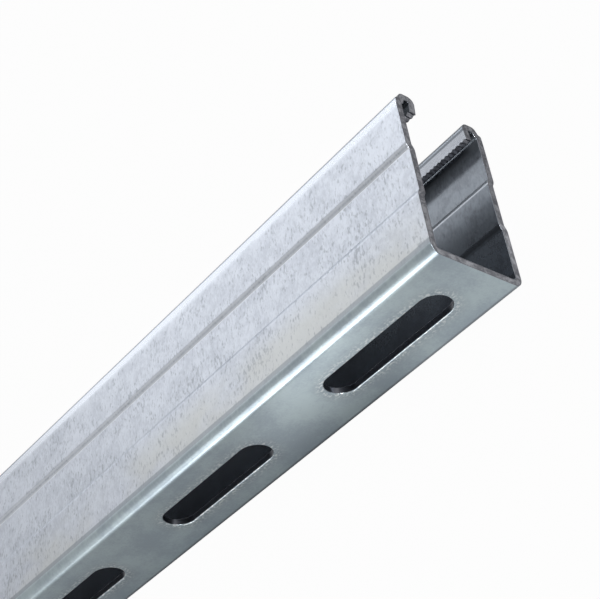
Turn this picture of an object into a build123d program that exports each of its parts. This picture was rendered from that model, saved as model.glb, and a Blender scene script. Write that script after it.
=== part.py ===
"""Slotted strut channel: one length of deep lipped C-section, cold rolled from a single steel strip.

Frame: +X runs along the length, towards the end that starts with the short land. The channel lies
on one side wall, as it would on a floor: +Z is up, through the other wall, the slotted web is at
-Y, and the mouth between the lips faces +Y. The origin is the bottom centre of the bounding box.
"""
from build123d import *
from math import ceil, floor
import os

# ---- the length, and the section over the outside (mm) ----
length = 1000.0           # as sold
width = 41.3              # across the web, over both walls
depth = 72.0              # from the web's outer face to the top of the lips
thickness = 2.75          # of the strip
bend_radius = 4.2         # outside radius of the web's two corners

# ---- the band rolled into each wall, which stiffens it ----
band_low = 25.2           # from the web's outer face to the start of the lower step
band_high = 47.0          # from the web's outer face to the end of the upper step
band_recess = 1.0         # how far the band is set in
step_run = 1.8            # height of each sloping step
step_radius = 3.2         # outside radius where the wall rolls over into a step

# ---- the lips and their curled hooks ----
lip = 9.5                 # from the wall's outer face to the edge of the mouth
lip_radius = 2.9          # outside radius at the edge of the mouth
hook_depth = 7.9          # from the top of the lips down to the hook's free edge
hook_lean = 0.8           # how far the hook leans back towards its wall
top_radius = 2.0          # outside radius of the bend from the lip down to the neck
inside_radius = 0.6       # inside radius of the bends at both edges of the lip

# ---- the wall's top, which leans in, turns in at a shoulder and rises to the lip as a neck ----
brow_drop = 7.2           # from the top of the lips down to where the wall starts to lean in
shoulder_drop = 3.2       # from the top of the lips down to the shoulder
neck_drop = 2.7           # from the top of the lips down to the foot of the neck
shoulder_inset = 0.2      # from the wall's outer face in to the shoulder
neck_inset = 1.5          # from the wall's outer face in to the foot of the neck
crown_inset = 2.9         # from the wall's outer face in to the corner of neck and lip
brow_radius = 8.0         # outside radius of the gentle bend at the brow
shoulder_radius = 0.6     # of the shoulder and the foot of the neck, where they turn outwards
shoulder_root = 0.3       # of the same two, where they turn inwards

# ---- the teeth rolled into the hooks' free edges, which grip a channel nut ----
tooth_pitch = 2.0
tooth_depth = 0.6
tooth_clearance = 0.5     # how far the tooth cutter runs past the strip

# ---- the slots punched through the web ----
slot_width = 13.5
slot_length = 62.0
slot_pitch = 100.0
slot_margin = 15.5        # land from the +X end to the first slot, and the least at the other end


def across(start, end):
    """The unit normal on the channel's inner side of the way from start to end."""
    along = (end - start).normalized()
    return Vector(along.Y, -along.X)


def inner_side(outline):
    """The outline moved inwards by the strip's thickness, with its corners still sharp."""
    moved = [outline[0] + across(*outline[:2]) * thickness]
    for before, corner, after in zip(outline, outline[1:], outline[2:]):
        entering, leaving = across(before, corner), across(corner, after)
        reach = thickness / (1 + entering.dot(leaving))
        moved.append(corner + (entering + leaving) * reach)
    return moved + [outline[-1] + across(*outline[-2:]) * thickness]


def half_outline():
    """Corners of the strip's outer side in (Y, Z), from the lower hook's free edge to the web."""
    web, top = -depth / 2, depth / 2
    return [
        Vector(top - hook_depth, lip - hook_lean),
        Vector(top, lip),
        Vector(top, crown_inset),
        Vector(top - neck_drop, neck_inset),
        Vector(top - shoulder_drop, shoulder_inset),
        Vector(top - brow_drop, 0),
        Vector(web + band_high, 0),
        Vector(web + band_high - step_run, band_recess),
        Vector(web + band_low + step_run, band_recess),
        Vector(web + band_low, 0),
        Vector(web, 0),
    ]


def section():
    """The rolled strip's section in the YZ plane: web, two banded walls, two hooked lips."""
    half = half_outline()
    outer = half + [Vector(corner.X, width - corner.Y) for corner in reversed(half)]
    inner = inner_side(outer)
    over, under = step_radius, step_radius - thickness
    band_outside, band_inside = [over, under, under, over], [under, over, over, under]
    wall_outside = [top_radius, shoulder_root, shoulder_radius, brow_radius]
    wall_inside = [inside_radius, shoulder_radius, shoulder_root, brow_radius - thickness]
    outer_bends = [lip_radius, *wall_outside, *band_outside, bend_radius]
    inner_bends = [inside_radius, *wall_inside, *band_inside, bend_radius - thickness]
    with BuildSketch(Plane.YZ) as sketch:
        with BuildLine():
            FilletPolyline(*outer, radius=outer_bends + outer_bends[::-1])
            FilletPolyline(*inner, radius=inner_bends + inner_bends[::-1])
            Line(outer[0], inner[0])
            Line(outer[-1], inner[-1])
        make_face()
    return sketch.sketch


def tooth_cutter():
    """A zigzag bar across the lower hook's free edge, which leaves a row of teeth along it."""
    tip, root = half_outline()[:2]
    through = across(tip, root)
    free_edge = Plane((0, tip.X, tip.Y), x_dir=(-1, 0, 0), z_dir=(0, through.X, through.Y))
    count = ceil(length / tooth_pitch)
    start, end = -count * tooth_pitch / 2, count * tooth_pitch / 2
    zigzag = [(start, -tooth_clearance), (start, 0)]
    for tooth in range(count):
        root_of_tooth = start + (tooth + 1 / 2) * tooth_pitch
        zigzag += [(root_of_tooth, tooth_depth), (root_of_tooth + tooth_pitch / 2, 0)]
    zigzag.append((end, -tooth_clearance))
    with BuildSketch(free_edge) as sketch:
        with BuildLine():
            Polyline(*zigzag, close=True)
        make_face()
    bar = sketch.sketch.moved(Location(free_edge.z_dir * -tooth_clearance))
    return extrude(bar, amount=thickness + 2 * tooth_clearance)


def slots():
    """The cutters for the row of slots, which run along the web's middle."""
    count = floor((length - 2 * slot_margin - slot_length) / slot_pitch) + 1
    first = length / 2 - slot_margin - slot_length / 2
    web_face = Plane((0, -depth / 2, width / 2), x_dir=(1, 0, 0), z_dir=(0, -1, 0))
    with BuildSketch(web_face) as sketch:
        with Locations([(first - step * slot_pitch, 0) for step in range(count)]):
            SlotOverall(slot_length, slot_width)
    return extrude(sketch.sketch, amount=thickness, both=True)


lower_teeth = tooth_cutter()
upper_teeth = mirror(lower_teeth, about=Plane((0, 0, width / 2)))
rolled_strip = extrude(section(), amount=length / 2, both=True)
strut_channel = rolled_strip - slots() - lower_teeth - upper_teeth
strut_channel.label = "strut_channel"

os.makedirs("parts", exist_ok=True)
export_step(strut_channel, "parts/strut_channel.step")
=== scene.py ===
from math import pi, radians, tan

import bmesh
import bpy
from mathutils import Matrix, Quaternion, Vector


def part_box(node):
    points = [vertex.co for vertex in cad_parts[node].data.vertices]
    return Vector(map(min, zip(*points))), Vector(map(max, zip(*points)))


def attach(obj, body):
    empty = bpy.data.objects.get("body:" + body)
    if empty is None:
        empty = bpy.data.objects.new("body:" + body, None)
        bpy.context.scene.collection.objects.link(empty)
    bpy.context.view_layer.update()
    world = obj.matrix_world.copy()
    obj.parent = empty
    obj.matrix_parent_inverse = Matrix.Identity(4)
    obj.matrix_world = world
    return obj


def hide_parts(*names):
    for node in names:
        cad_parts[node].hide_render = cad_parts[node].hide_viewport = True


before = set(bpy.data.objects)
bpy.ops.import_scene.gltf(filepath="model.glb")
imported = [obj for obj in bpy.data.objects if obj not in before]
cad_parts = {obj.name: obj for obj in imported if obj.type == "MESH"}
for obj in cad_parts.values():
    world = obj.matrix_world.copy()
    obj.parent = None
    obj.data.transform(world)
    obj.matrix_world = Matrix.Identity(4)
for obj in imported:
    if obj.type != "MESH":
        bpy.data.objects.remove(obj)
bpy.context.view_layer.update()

# ---- Where the channel is seen from ---------------------------------------------------------
# A long lens, above the near end and on the slotted side, turned well over, so that the channel
# runs from corner to corner.
MM = 0.001
camera_place = Vector((758.3, -344.7, 351.3)) * MM
camera_target = Vector((394.0, 32.7, 0.0)) * MM
camera_turn = radians(70.0)
camera_data = bpy.data.cameras.new("camera")
camera_data.sensor_width = 36.0
camera_data.lens = 96.0
camera = bpy.data.objects.new("camera", camera_data)
facing = (camera_target - camera_place).to_track_quat("-Z", "Y")
camera.rotation_mode = "QUATERNION"
camera.rotation_quaternion = facing @ Quaternion((0, 0, 1), -camera_turn)
camera.location = camera_place
bpy.context.scene.collection.objects.link(camera)
bpy.context.scene.camera = camera

# ---- The strip, rolled to its section -------------------------------------------------------
# One strip of steel, coated with zinc in the coil and bent cold by a line of rollers: a web, two
# walls with a band set into each, a shoulder, and lips whose hooks curl back inside.
low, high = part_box("strut_channel")
length, depth, width = high - low
middle = (low.z + high.z) / 2
gauge = 2.75 * MM                # thickness of the strip
overrun = 10 * MM                # rolled on past each end, and sawn off later
web_bend = 4.2 * MM              # outside radius
band_low, band_high = 25.2 * MM, 47.0 * MM
band_recess = 1.0 * MM
step_run = 1.8 * MM
step_bend = 3.2 * MM
brow_drop, brow_bend = 7.2 * MM, 8.0 * MM
shoulder_drop, shoulder_inset = 3.2 * MM, 0.2 * MM
neck_drop, neck_inset = 2.7 * MM, 1.5 * MM
jog_bend, jog_root = 0.6 * MM, 0.3 * MM
crown_inset = 2.9 * MM
top_bend, lip_bend, inside_bend = 2.0 * MM, 2.9 * MM, 0.6 * MM
lip = 9.5 * MM
hook_depth, hook_lean = 7.9 * MM, 0.8 * MM

# Each bend, from the web to the hook: (up from the web's face, in from the wall's face, its
# outside radius, its inside radius). The strip ends at the hook's free edge.
bends = [
    (0.0, 0.0, web_bend, web_bend - gauge),
    (band_low, 0.0, step_bend, step_bend - gauge),
    (band_low + step_run, band_recess, step_bend - gauge, step_bend),
    (band_high - step_run, band_recess, step_bend - gauge, step_bend),
    (band_high, 0.0, step_bend, step_bend - gauge),
    (depth - brow_drop, 0.0, brow_bend, brow_bend - gauge),
    (depth - shoulder_drop, shoulder_inset, jog_bend, jog_root),
    (depth - neck_drop, neck_inset, jog_root, jog_bend),
    (depth, crown_inset, top_bend, inside_bend),
    (depth, lip, lip_bend, inside_bend),
]
free_edge = (depth - hook_depth, lip - hook_lean)
HAIR = 0.01 * MM                 # places closer than this are the same


def in_section(up, inwards, side):
    """The place in the Y and Z plane of a point of the section, on the upper or the lower wall."""
    return Vector((0.0, low.y + up, middle + side * (width / 2 - inwards)))


def inner_corner(before, corner, after, side):
    """The corner of the strip's inner side that lies under this corner of its outer side."""
    along = [(corner - before).normalized(), (after - corner).normalized()]
    inwards = [Vector((0.0, side * way.z, -side * way.y)) for way in along]
    return corner + (inwards[0] + inwards[1]) * gauge / (1 + inwards[0].dot(inwards[1]))


def edit(piece, mode):
    """Goes into edit mode on this piece alone, with nothing selected."""
    bpy.ops.object.select_all(action="DESELECT")
    bpy.context.view_layer.objects.active = piece
    piece.select_set(True)
    bpy.ops.object.mode_set(mode="EDIT")
    bpy.ops.mesh.select_mode(type=mode)
    bpy.ops.mesh.select_all(action="DESELECT")


def pick(piece, kind, wanted):
    """Selects only those of the piece's vertices, edges or faces that pass the test."""
    bpy.ops.mesh.select_all(action="DESELECT")
    mesh = bmesh.from_edit_mesh(piece.data)
    for part in getattr(mesh, kind):
        if wanted(part):
            part.select_set(True)
    bmesh.update_edit_mesh(piece.data)


def apply_modifier(piece, kind, **settings):
    """Adds a modifier with these settings to the piece and applies it."""
    bpy.context.view_layer.objects.active = piece
    modifier = piece.modifiers.new(kind.lower(), kind)
    for name, value in settings.items():
        setattr(modifier, name, value)
    bpy.ops.object.modifier_apply(modifier=modifier.name)


def at_corner(corner):
    """A test for the vertices and edges that lie at this corner of the section."""
    def wanted(part):
        ends = getattr(part, "verts", [part])
        return all(abs(v.co.y - corner.y) < HAIR and abs(v.co.z - corner.z) < HAIR for v in ends)
    return wanted


bpy.ops.object.select_all(action="DESELECT")
bpy.ops.mesh.primitive_plane_add(size=1, location=(0, low.y, middle), rotation=(pi / 2, 0, 0))
channel = bpy.context.object
channel.name = channel.data.name = "rolled_channel"
bpy.ops.object.transform_apply()
edit(channel, "EDGE")
bpy.ops.mesh.select_all(action="SELECT")
bpy.ops.transform.resize(value=(length + 2 * overrun, 1, width))
outlines = {}
for side in (1, -1):
    corners = [in_section(up, inwards, side) for up, inwards, *_ in bends]
    corners.append(in_section(*free_edge, side))
    pick(channel, "edges", at_corner(corners[0]))
    for here, there in zip(corners, corners[1:]):
        bpy.ops.mesh.extrude_region_move(TRANSFORM_OT_translate={"value": there - here})
    outlines[side] = corners

# ---- The teeth along the hooks' free edges --------------------------------------------------
# Notches knurled across the strip's edge while it was still flat. A channel nut's grooves bite
# on them.
tooth_pitch, tooth_depth = 2.0 * MM, 0.6 * MM
half_pitches = round((length + 2 * overrun) / (tooth_pitch / 2))
stretches = 20                   # the edge is marked out in these first, then in half pitches
for side, corners in outlines.items():
    hook_root, edge = corners[-2:]
    on_edge = at_corner(edge)
    bpy.ops.mesh.select_mode(type="EDGE")
    pick(channel, "edges", on_edge)
    bpy.ops.mesh.subdivide(number_cuts=stretches - 1)
    bpy.ops.mesh.subdivide(number_cuts=half_pitches // stretches - 1)

    def in_notch(vertex):
        from_end = (vertex.co.x - low.x + overrun) / (tooth_pitch / 2)
        return on_edge(vertex) and round(from_end) % 2 == 1

    bpy.ops.mesh.select_mode(type="VERT")
    pick(channel, "verts", in_notch)
    bpy.ops.transform.translate(value=(hook_root - edge).normalized() * tooth_depth)
bpy.ops.object.mode_set(mode="OBJECT")

# ---- The bends ------------------------------------------------------------------------------
# The strip gets its thickness, and each fold is rolled to its radius, outside and inside. Its
# surfaces are kept apart for their finishes: zinc outside, zinc inside, cut edges, a border of
# painted shade round the cut ends, and punched walls.
tight = 1 * MM                   # a bend with no larger radius than this is rounded in few steps
round_steps, tight_steps = 12, 4
OUTSIDE, INSIDE, CUT, SHADED_RIM, PUNCHED = range(5)
for surface in (OUTSIDE, INSIDE, CUT, SHADED_RIM, PUNCHED):
    channel.data.materials.append(None)
apply_modifier(
    channel, "SOLIDIFY", thickness=gauge, offset=-1, use_even_offset=True, use_quality_normals=True,
    material_offset=INSIDE, material_offset_rim=CUT,
)
edit(channel, "EDGE")
for side, corners in outlines.items():
    path = [in_section(0.0, width / 2, side), *corners]
    for place, (*_, outside, inside) in enumerate(bends):
        before, corner, after = path[place:place + 3]
        turn = (corner - before).angle(after - corner)
        for fold, radius in ((corner, outside), (inner_corner(before, corner, after, side), inside)):
            pick(channel, "edges", at_corner(fold))
            steps = round_steps if radius > tight else tight_steps
            bpy.ops.mesh.bevel(offset=radius * tan(turn / 2), segments=steps, offset_type="OFFSET")

# ---- The cut ends ---------------------------------------------------------------------------
# The rolled strip runs on without end and is sawn square to length, which leaves the steel bare
# there. Each saw cut closes the strip with one flat face.
for end in (low.x, high.x):
    bpy.ops.mesh.select_all(action="SELECT")
    bpy.ops.mesh.bisect(plane_co=(end, 0, 0), plane_no=(end, 0, 0), use_fill=True, clear_outer=True)
bpy.ops.object.mode_set(mode="OBJECT")

# ---- The slots ------------------------------------------------------------------------------
# A row of long holes for bolts, punched one after another through the web from its outer side.
# The punch draws the rim down a little there, and leaves the inner rim hardly broken.
slot_width, slot_length = 13.5 * MM, 62.0 * MM
slot_pitch = 100.0 * MM
slot_margin = 15.5 * MM          # land from the near end to the first slot
slot_count = 10
slot_rim, back_rim = 0.45 * MM, 0.12 * MM
round_sides = 66                 # sides of the punch, all the way round its two ends
out_of_true = 0.02               # a face leaning less than this is flat, or square to a flat one
first_slot = high.x - slot_margin - slot_length / 2
straight = (slot_length - slot_width) / 2       # half the length of a slot's straight sides
bpy.ops.object.select_all(action="DESELECT")
bpy.ops.mesh.primitive_cylinder_add(
    vertices=round_sides, radius=slot_width / 2, depth=4 * gauge,
    location=(first_slot, low.y, middle), rotation=(pi / 2, 0, 0),
)
punch = bpy.context.object
bpy.ops.object.transform_apply()
edit(punch, "VERT")
for way in (1, -1):
    pick(punch, "verts", lambda vertex: (vertex.co.x - first_slot) * way > 0)
    bpy.ops.transform.translate(value=(way * straight, 0, 0))
bpy.ops.object.mode_set(mode="OBJECT")
apply_modifier(
    punch, "ARRAY", count=slot_count, use_relative_offset=False, use_constant_offset=True,
    constant_offset_displace=(-slot_pitch, 0, 0),
)
apply_modifier(channel, "BOOLEAN", operation="DIFFERENCE", solver="EXACT", object=punch)
bpy.data.objects.remove(punch)


def on_level(axis, level):
    """A test for the edges and faces that lie at this place along this axis."""
    return lambda part: all(abs(v.co[axis] - level) < HAIR for v in part.verts)


def corner_edge(axis, level):
    """A test for the edges where a flat face at this place along the axis meets a wall along it."""
    def wanted(edge):
        if len(edge.link_faces) != 2 or not on_level(axis, level)(edge):
            return False
        facing = sorted(abs(face.normal[axis]) for face in edge.link_faces)
        return facing[0] < out_of_true and facing[1] > 1 - out_of_true
    return wanted


def beside_slot(part):
    """Whether an edge or a face lies no further from the web's middle line than a slot's side."""
    return all(abs(v.co.z - middle) < slot_width / 2 + HAIR for v in part.verts)


edit(channel, "EDGE")
for level, rim in ((low.y, slot_rim), (low.y + gauge, back_rim)):
    at_face = corner_edge(1, level)
    pick(channel, "edges", lambda edge: beside_slot(edge) and at_face(edge))
    bpy.ops.mesh.bevel(offset=rim, segments=3)

# ---- The edges of the cut ends --------------------------------------------------------------
# They are hardly broken. A narrow flat border round each end face is a ring of faces of its own,
# which is coloured dark as painted shade along the cut's edges.
saw_break, shaded_rim_width = 0.12 * MM, 0.28 * MM
saw_clearance = 1 * MM           # the saw cuts and their broken edges lie within this of the ends
crisp_fold = radians(46)         # folds sharper than this show as edges
for end in (low.x, high.x):
    pick(channel, "edges", corner_edge(0, end))
    bpy.ops.mesh.bevel(offset=saw_break, segments=2)
bpy.ops.mesh.select_mode(type="FACE")
for end in (low.x, high.x):
    pick(channel, "faces", on_level(0, end))
    bpy.ops.mesh.inset(thickness=shaded_rim_width)
bpy.ops.object.mode_set(mode="OBJECT")
bpy.ops.object.shade_smooth_by_angle(angle=crisp_fold)
apply_modifier(channel, "WEIGHTED_NORMAL", keep_sharp=True)

# ---- The coat of zinc -----------------------------------------------------------------------
# Zinc from a hot bath, put on in the coil: a pale blue-grey skin, mottled, and rubbed dark in short
# streaks across the walls. On the web it is smoother, faintly green, and grazed round the slots,
# and a little darker, partly as painted shade. Dark lines along its creases are painted shade and
# the pale upper step is a painted highlight. Inside, its colours are painted far darker, as shade.


def fill(tree, socket, value):
    """Gives a socket its value, or links it to another node's socket."""
    if isinstance(value, bpy.types.NodeSocket):
        tree.links.new(value, socket)
    else:
        socket.default_value = value


def shader(tree, kind, settings=None, **inputs):
    """Adds a node. Each input, an underscore for a space, gets a value or another node's socket."""
    node = tree.nodes.new("ShaderNode" + kind)
    for name, value in (settings or {}).items():
        setattr(node, name, value)
    for name, value in inputs.items():
        socket = next(s for s in node.inputs if s.enabled and s.name == name.replace("_", " "))
        fill(tree, socket, value)
    return node


def finish(name):
    """A new material with its shader and the place on the piece, in metres."""
    material = bpy.data.materials.new(name)
    material.use_nodes = True
    tree = material.node_tree
    return material, tree, tree.nodes["Principled BSDF"], shader(tree, "TexCoord").outputs["Object"]


def noise(tree, place, size, stretch=(1.0, 1.0, 1.0), detail=2.0, roughness=0.5):
    """Smooth noise with patches of about this size, drawn out along an axis by a stretch under 1."""
    if stretch != (1.0, 1.0, 1.0):
        place = shader(tree, "Mapping", Vector=place, Scale=stretch).outputs["Vector"]
    node = shader(
        tree, "TexNoise", Vector=place, Scale=1 / size, Detail=detail, Roughness=roughness
    )
    return node.outputs["Fac"]


def graded(tree, value, start, end, least=0.0, most=1.0):
    """The value's range from start to end, mapped smoothly to least and most."""
    node = shader(
        tree, "MapRange", {"interpolation_type": "SMOOTHSTEP"}, Value=value,
        From_Min=start, From_Max=end, To_Min=least, To_Max=most,
    )
    return node.outputs["Result"]


def maths(tree, operation, *values):
    """One step of arithmetic on these values."""
    node = shader(tree, "Math", {"operation": operation})
    for socket, value in zip(node.inputs, values):
        fill(tree, socket, value)
    return node.outputs["Value"]


def times(tree, first, *others):
    """All these values multiplied together."""
    for value in others:
        first = maths(tree, "MULTIPLY", first, value)
    return first


def summed(tree, *shares):
    """The sum of values, each with its share."""
    total = 0.0
    for value, share in shares:
        total = maths(tree, "ADD", times(tree, value, share), total)
    return total


def without(tree, value):
    """1 where the value is 0, and 0 where it is 1."""
    return maths(tree, "SUBTRACT", 1.0, value)


def between(tree, value, rise, fall):
    """1 from the end of the rise to the start of the fall, and 0 before and after them."""
    return times(tree, graded(tree, value, *rise), graded(tree, value, *fall, 1.0, 0.0))


def blended(tree, share, first, second):
    """A colour between two others."""
    node = shader(tree, "Mix", {"data_type": "RGBA"}, Factor=share, A=first, B=second)
    return node.outputs[2]


def beyond_slots(tree, along, up):
    """How far a place on the web lies beyond the rim of the nearest slot."""
    from_first = maths(tree, "SUBTRACT", along, first_slot)
    from_nearest = maths(tree, "WRAP", from_first, slot_pitch / 2, -slot_pitch / 2)
    past = maths(tree, "SUBTRACT", maths(tree, "ABSOLUTE", from_nearest), straight)
    past = maths(tree, "MAXIMUM", past, 0.0)
    beside = maths(tree, "SUBTRACT", up, middle)
    from_middle = maths(tree, "SQRT", summed(tree, (past, past), (beside, beside)))
    return maths(tree, "SUBTRACT", from_middle, slot_width / 2)


def zinc_skin(
    name, web_colours, wall_colours, step_highlight_colour, dark, wall_starts, rubbed, greying, crease,
    foot_shade, web_sheen, wall_sheen, metallic,
):
    """The coat of zinc on one side of the strip.

    The web and the walls have a dull and a pale colour and a roughness each, and the walls start
    between two heights above the web's face. The shares say how strongly the walls are rubbed
    and greyed, and how dark the painted shade is in the band's crease and along the foot of the web.
    """
    material, tree, coat, place = finish(name)
    spot = shader(tree, "SeparateXYZ", Vector=place)
    along, across, up = spot.outputs["X"], spot.outputs["Y"], spot.outputs["Z"]

    def by_height(start, end, least=0.0, most=1.0):
        """What changes between these heights above the web's face."""
        return graded(tree, across, low.y + start, low.y + end, least, most)

    def strip(start, end):
        """1 between these heights above the web's face, and 0 outside them."""
        soft = 0.3 * MM
        edges = [(low.y + edge - soft, low.y + edge + soft) for edge in (start, end)]
        return between(tree, across, *edges)

    # Where a place lies on the section.
    on_wall = by_height(*wall_starts)
    on_web = without(tree, on_wall)
    brow = depth - brow_drop
    at_brow = by_height(brow - 2.5 * MM, brow + 1.5 * MM)
    below_brow = by_height(brow - 4.5 * MM, brow - 1.0 * MM, 1.0, 0.0)
    shoulder = strip(depth - shoulder_drop - 0.85 * MM, depth + 1.0 * MM)
    low_step = strip(band_low, band_low + step_run)
    by_bend = strip(4.0 * MM, 6.0 * MM)
    from_rim = beyond_slots(tree, along, up)

    # The mottle of the zinc, between its dull and its pale colour.
    clouds = noise(tree, place, 9 * MM, detail=3.0)
    broad_clouds = noise(tree, place, 17 * MM, stretch=(0.8, 1.0, 1.0))
    mottle = noise(tree, place, 2.4 * MM, stretch=(1.0, 0.6, 1.0), detail=3.0, roughness=0.6)
    fine = noise(tree, place, 0.9 * MM, stretch=(1.0, 0.45, 1.0), detail=3.0, roughness=0.6)
    wall_tone = summed(tree, (clouds, 0.32), (mottle, 0.32), (fine, 0.36))
    web_tone = summed(tree, (broad_clouds, 0.42), (clouds, 0.18), (mottle, 0.20), (fine, 0.20))
    tone = summed(
        tree, (graded(tree, wall_tone, 0.38, 0.60), on_wall), (graded(tree, web_tone, 0.40, 0.60), on_web)
    )
    # Along the brow the tone is held pale and even: a painted highlight under the brow's bright band.
    tone = maths(tree, "MAXIMUM", tone, times(tree, at_brow, 0.9))
    # The web's colours are greener than the walls' and somewhat darker, the darkness partly painted shade
    # for the side face.
    dull, pale = [blended(tree, on_wall, web, wall) for web, wall in zip(web_colours, wall_colours)]
    skin = blended(tree, tone, dull, pale)

    # The walls grey in weathered patches towards the web.
    weather_grey = (0.64, 0.66, 0.65, 1)
    weathered = noise(tree, place, 26 * MM, stretch=(0.6, 1.0, 1.0), detail=3.0)
    greyed = times(
        tree, by_height(12 * MM, 26 * MM, greying, 0.0), graded(tree, weathered, 0.30, 0.60), on_wall
    )
    skin = blended(tree, greyed, skin, weather_grey)

    # Short dark streaks, rubbed across the walls.
    scuffs = noise(tree, place, 0.85 * MM, stretch=(1.0, 0.40, 1.0))
    patches = noise(tree, place, 14 * MM, detail=1.0)
    marks = graded(tree, summed(tree, (scuffs, 1.0), (patches, 0.35)), 0.70, 0.92)
    marks = times(tree, marks, on_wall, without(tree, at_brow))
    skin = blended(tree, times(tree, marks, rubbed), skin, dark)

    # Painted shade: darker along the band's lower crease, beside the web's bend, at the shoulder, round
    # the slots and along the foot of the web.
    by_slot = times(tree, graded(tree, from_rim, 1 * MM, 7 * MM, 0.22, 0.0), on_web)
    foot = times(tree, graded(tree, up, low.z + 2.6 * MM, low.z + 4.2 * MM, foot_shade, 0.0), on_web)
    painted_shade = summed(
        tree, (low_step, crease), (by_bend, 0.58), (shoulder, 0.85), (by_slot, 1.0), (foot, 1.0)
    )
    skin = blended(tree, painted_shade, skin, dark)

    # Pale grazes round the slots, where the punch was drawn out.
    graze_colour = (0.84, 0.89, 0.90, 1)
    grazes = noise(tree, place, 1.0 * MM, stretch=(0.7, 1.0, 1.0), detail=4.0)
    grazed = times(
        tree, graded(tree, grazes, 0.48, 0.62), graded(tree, from_rim, 0.4 * MM, 5 * MM, 0.9, 0.0), on_web
    )
    skin = blended(tree, grazed, skin, graze_colour)

    # Painted highlight on the band's upper step, mostly at its foot and its top: a pale colour that
    # stands for the light the step mirrors.
    step_foot, step_waist = band_high - step_run, band_high - 0.9 * MM
    step_highlight = summed(
        tree, (by_height(step_foot + 0.1 * MM, step_waist, 0.9, 0.15), 1.0),
        (by_height(step_waist, band_high - 0.2 * MM), 0.6),
    )
    step_highlight = times(
        tree, step_highlight, by_height(step_foot - 0.5 * MM, step_foot),
        by_height(band_high - 0.1 * MM, band_high + 0.4 * MM, 1.0, 0.0),
    )
    skin = blended(tree, step_highlight, skin, step_highlight_colour)
    tree.links.new(skin, coat.inputs["Base Color"])
    coat.inputs["Metallic"].default_value = metallic

    # The roughness, and a faint relief drawn out by the rollers.
    sheen = graded(tree, on_wall, 0.0, 1.0, web_sheen, wall_sheen)
    sheen = summed(tree, (sheen, 1.0), (mottle, 0.06), (at_brow, -0.15))
    tree.links.new(sheen, coat.inputs["Roughness"])
    rolling = noise(tree, place, 0.6 * MM, stretch=(0.03, 1.0, 1.0))
    relief = summed(tree, (fine, 0.5), (rolling, 0.4), (marks, -0.5))
    relief = times(tree, relief, below_brow)
    bump = shader(tree, "Bump", Strength=0.5, Distance=0.015 * MM, Height=relief)
    tree.links.new(bump.outputs["Normal"], coat.inputs["Normal"])
    return material


outer_zinc = zinc_skin(
    "galvanised zinc",
    web_colours=((0.46, 0.54, 0.60, 1), (0.59, 0.69, 0.725, 1)),
    wall_colours=((0.57, 0.61, 0.685, 1), (0.71, 0.755, 0.835, 1)),
    step_highlight_colour=(0.90, 0.94, 1.0, 1), dark=(0.24, 0.27, 0.31, 1),
    wall_starts=(3 * MM, 6.5 * MM), rubbed=0.5, greying=0.75, crease=0.18, foot_shade=0.9,
    web_sheen=0.29, wall_sheen=0.36, metallic=1.0,
)
# The inside's colours are far darker than the outside's: painted shade for the inside of the channel.
shaded_inner_zinc = zinc_skin(
    "galvanised zinc inside",
    web_colours=((0.10, 0.115, 0.14, 1), (0.15, 0.175, 0.21, 1)),
    wall_colours=((0.17, 0.19, 0.22, 1), (0.25, 0.28, 0.32, 1)),
    step_highlight_colour=(0.50, 0.54, 0.60, 1), dark=(0.05, 0.055, 0.065, 1),
    wall_starts=(12 * MM, 50 * MM), rubbed=0.2, greying=0.0, crease=0.6, foot_shade=0.0,
    web_sheen=0.20, wall_sheen=0.20, metallic=0.7,
)

# ---- The steel bare of zinc -----------------------------------------------------------------
# Sawn ends and the knurled edges of the hooks show the steel, dragged rough and patchy by the
# blade. The walls of the slots are sheared smooth, and the ends have a dark border of painted shade.
bare, tree, metal, place = finish("bare cut steel")
drag = noise(tree, place, 1.6 * MM, stretch=(1.0, 0.6, 0.6), detail=4.0, roughness=0.65)
dark_steel, pale_steel = (0.22, 0.225, 0.25, 1), (0.52, 0.53, 0.57, 1)
steel = blended(tree, graded(tree, drag, 0.40, 0.60), dark_steel, pale_steel)
tree.links.new(steel, metal.inputs["Base Color"])
metal.inputs["Metallic"].default_value = 1.0
tree.links.new(graded(tree, drag, 0.35, 0.65, 0.48, 0.34), metal.inputs["Roughness"])
bump = shader(tree, "Bump", Strength=0.5, Distance=0.02 * MM, Height=drag)
tree.links.new(bump.outputs["Normal"], metal.inputs["Normal"])


def plain_steel(name, colour, metallic, roughness):
    """A steel surface that is the same all over."""
    material = bpy.data.materials.new(name)
    material.use_nodes = True
    metal = material.node_tree.nodes["Principled BSDF"]
    metal.inputs["Base Color"].default_value = colour
    metal.inputs["Metallic"].default_value = metallic
    metal.inputs["Roughness"].default_value = roughness
    return material


# The dark border round each end face is painted shade along the cut's edges.
rim_shade = plain_steel("painted rim shade", (0.15, 0.15, 0.17, 1), metallic=0.6, roughness=0.45)
punched = plain_steel("punched steel", (0.33, 0.34, 0.38, 1), metallic=1.0, roughness=0.30)
for surface, material in (
    (OUTSIDE, outer_zinc), (INSIDE, shaded_inner_zinc), (CUT, bare), (SHADED_RIM, rim_shade), (PUNCHED, punched),
):
    channel.data.materials[surface] = material


def at_end(face):
    """Whether a face lies in one of the two saw cuts."""
    return on_level(0, low.x)(face) or on_level(0, high.x)(face)


def in_slot(face):
    """Whether a face is on the wall of a slot."""
    clear_of_ends = low.x + saw_clearance < face.calc_center_median().x < high.x - saw_clearance
    return beside_slot(face) and abs(face.normal.y) < out_of_true and clear_of_ends


edit(channel, "FACE")
for surface, wanted in (
    (PUNCHED, in_slot),
    (CUT, lambda face: at_end(face) and len(face.verts) > 4),
    (SHADED_RIM, lambda face: at_end(face) and len(face.verts) == 4),      # the ring round it
):
    pick(channel, "faces", wanted)
    channel.active_material_index = surface
    bpy.ops.object.material_slot_assign()
bpy.ops.object.mode_set(mode="OBJECT")

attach(channel, "root")
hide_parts("strut_channel")
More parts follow.
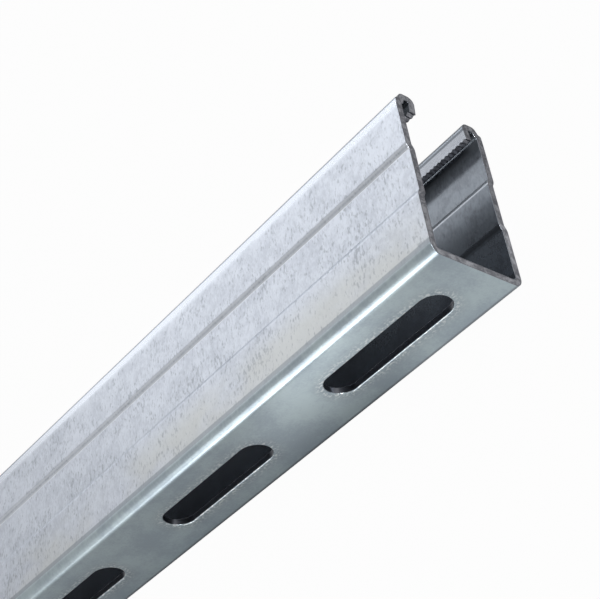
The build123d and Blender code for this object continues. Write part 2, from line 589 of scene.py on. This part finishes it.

# ---- The floor ------------------------------------------------------------------------------
# A plain pale floor, white to the camera. Two patches of it in front of the near end glow white to
# reflection rays only, a painted reflection in the web and the bends, and in the metal the rest is the
# grey that the light gives.
floor_size = 12
floor_white, floor_grey = 0.97, (0.42, 0.42, 0.42, 1)
bpy.ops.object.select_all(action="DESELECT")
bpy.ops.mesh.primitive_plane_add(size=floor_size, location=(0, 0, 0))
floor = bpy.context.object
floor.name = "floor"
paint = bpy.data.materials.new("pale floor")
paint.use_nodes = True
tree = paint.node_tree
tree.nodes.clear()
spot = shader(tree, "SeparateXYZ", Vector=shader(tree, "TexCoord").outputs["Object"])
along, across = spot.outputs["X"], spot.outputs["Y"]
# Each pair of places, in metres, is where an edge of a patch starts to fade and ends.
at_foot = times(
    tree, graded(tree, across, -0.056, -0.042), graded(tree, along, 0.42, 0.46, 1.0, 0.0)
)
by_end = times(
    tree, graded(tree, along, 0.29, 0.44), between(tree, across, (-0.11, -0.06), (-0.01, 0.01)),
    without(tree, at_foot),
)
before_web = times(
    tree, between(tree, along, (0.34, 0.39), (0.40, 0.45)),
    between(tree, across, (-0.19, -0.15), (-0.075, -0.055)),
)
# The patches glow only for reflection rays: a painted reflection on the web and the bend, left out along
# the channel's foot.
reflection_glow = summed(tree, (by_end, 0.33), (before_web, 0.85))
ray = shader(tree, "LightPath")
glossy = maths(tree, "ADD", ray.outputs["Is Glossy Ray"], ray.outputs["Is Transmission Ray"])
white = summed(tree, (ray.outputs["Is Camera Ray"], floor_white), (glossy, reflection_glow))
matt = shader(tree, "BsdfDiffuse", Color=floor_grey)
bright = shader(tree, "Emission", Strength=1.0)
seen = shader(tree, "MixShader", Fac=white)
tree.links.new(matt.outputs["BSDF"], seen.inputs[1])
tree.links.new(bright.outputs["Emission"], seen.inputs[2])
surface = shader(tree, "OutputMaterial")
tree.links.new(seen.outputs["Shader"], surface.inputs["Surface"])
floor.data.materials.append(paint)

# ---- The light ------------------------------------------------------------------------------
# Soft boxes round the near end, each where a face or a bend of the channel mirrors it, a long one
# for the whole brow, and a plain white room.
near_part = Vector((0.3, 0.0, 0.0))
room_light = 0.41


def from_near_part(bearing, height, distance):
    """The place at this bearing from +X and this height, both in degrees, and this distance."""
    turn = Quaternion((0, 0, 1), radians(bearing)) @ Quaternion((0, -1, 0), radians(height))
    return near_part + turn @ Vector((distance, 0, 0))


def soft_box(name, place, size, brightness, aim=near_part):
    """An area lamp with these sides at this place. A brightness of 1 is white."""
    lamp = bpy.data.lights.new(name, "AREA")
    lamp.shape = "RECTANGLE"
    lamp.size, lamp.size_y = size
    lamp.energy = brightness * pi * lamp.size * lamp.size_y
    holder = bpy.data.objects.new(name, lamp)
    holder.location = place
    holder.rotation_euler = (place - aim).to_track_quat("Z", "Y").to_euler()
    bpy.context.scene.collection.objects.link(holder)


soft_box("back box", from_near_part(124, 36, 1.2), (0.50, 0.35), 0.52)
soft_box("low back box", from_near_part(128, 18, 1.2), (0.50, 0.35), 0.60)
soft_box("side box", from_near_part(146, 44, 1.2), (0.50, 0.35), 0.33)
soft_box("mouth box", from_near_part(95, 30, 1.2), (0.40, 0.35), 5.2)
soft_box("end box", from_near_part(0, 28, 1.2), (0.35, 0.35), 20.0)
soft_box("high left box", from_near_part(200, 52, 1.2), (0.45, 0.35), 0.22)
soft_box("far strip box", from_near_part(230, 6, 1.2), (0.30, 0.25), 1.26)
soft_box("strip box", from_near_part(242, 6, 1.2), (0.30, 0.25), 2.90)
soft_box("front box", from_near_part(250, 20, 1.2), (0.40, 0.25), 2.40)
soft_box("near high box", from_near_part(242.7, 36.2, 0.432), (0.20, 0.16), 1.40)
soft_box("near low box", from_near_part(256.8, 12.9, 0.358), (0.20, 0.16), 1.38)
soft_box("end lamp", from_near_part(331, 13, 0.53), (0.15, 0.10), 1.6)
soft_box("brow box", Vector((-0.4, 0.66, 0.54)), (1.2, 0.12), 0.98, aim=Vector((-0.4, 0.0, 0.05)))

world = bpy.data.worlds.new("studio")
bpy.context.scene.world = world
world.use_nodes = True
world.node_tree.nodes["Background"].inputs["Color"].default_value = (1, 1, 1, 1)
world.node_tree.nodes["Background"].inputs["Strength"].default_value = room_light

bpy.context.scene.view_settings.view_transform = "Standard"
